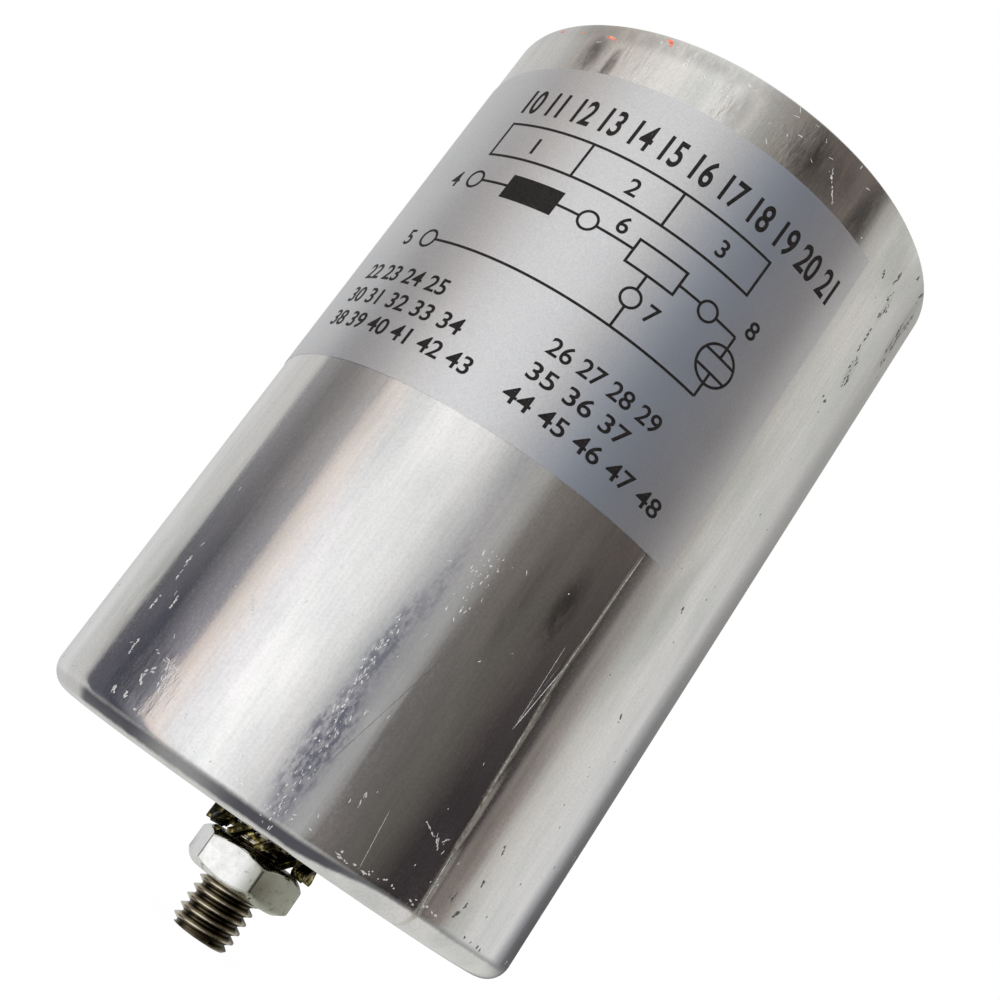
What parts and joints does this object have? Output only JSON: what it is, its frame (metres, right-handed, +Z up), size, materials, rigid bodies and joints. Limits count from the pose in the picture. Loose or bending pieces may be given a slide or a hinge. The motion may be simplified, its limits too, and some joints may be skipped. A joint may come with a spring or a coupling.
{
  "type": "lamp ignitor",
  "caption": "Pulse ignitor for a discharge lamp: resin-filled aluminium can with a threaded stud, star washer and thin nut at its base, a wrapped label, and screw terminals on its lid.",
  "frame": {"origin": "centre of the can's flat base, where it seats on a panel", "axes": "+Z up the can's axis from the base to the terminals, the stud points down -Z, and the label is centred on -Y"},
  "size_m": [0.065, 0.0651, 0.1245],
  "materials": {
    "drawn_aluminium": "satin, drawn, lightly scratched",
    "stud_steel": "bare turned steel",
    "yellow_zinc": "yellow passivated zinc",
    "bright_zinc": "bright zinc plate",
    "label_film": "metallised silver film with black print",
    "black_moulding": "moulded, fine matte",
    "terminal_brass": "stamped",
    "plated_steel": "nickel plated",
    "pressboard": "calendered",
    "ferrite": "sintered, ground legs",
    "bobbin_nylon": "moulded",
    "copper_wire": "enamelled",
    "board_laminate": "glass laminate",
    "film_capacitor": "moulded box",
    "resistor_ceramic": "cement filled ceramic",
    "lead_insulation": "silicone insulation",
    "resin": "cast potting resin"
  },
  "bodies": {
    "root": {"bypass_capacitor": "film_capacitor", "can": "drawn_aluminium", "charging_resistor": "resistor_ceramic", "circuit_board": "board_laminate", "clamp_plate_1": "plated_steel", "clamp_plate_2": "plated_steel", "clamp_plate_3": "plated_steel", "coil_bobbin": "bobbin_nylon", "core_lower": "ferrite", "core_upper": "ferrite", "hex_nut": "bright_zinc", "insulating_disc": "pressboard", "insulating_sleeve": "pressboard", "lead_wire_1": "lead_insulation", "lead_wire_2": "lead_insulation", "lead_wire_3": "lead_insulation", "mounting_stud": "stud_steel", "potting_resin": "resin", "primary_winding": "copper_wire", "pulse_capacitor": "film_capacitor", "rating_label": "label_film", "secondary_winding": "copper_wire", "spark_gap": "resistor_ceramic", "star_washer": "yellow_zinc", "terminal_cover": "black_moulding", "terminal_plate_1": "terminal_brass", "terminal_plate_2": "terminal_brass", "terminal_plate_3": "terminal_brass", "terminal_screw_1": "plated_steel", "terminal_screw_2": "plated_steel", "terminal_screw_3": "plated_steel"}
  },
  "joints": []
}
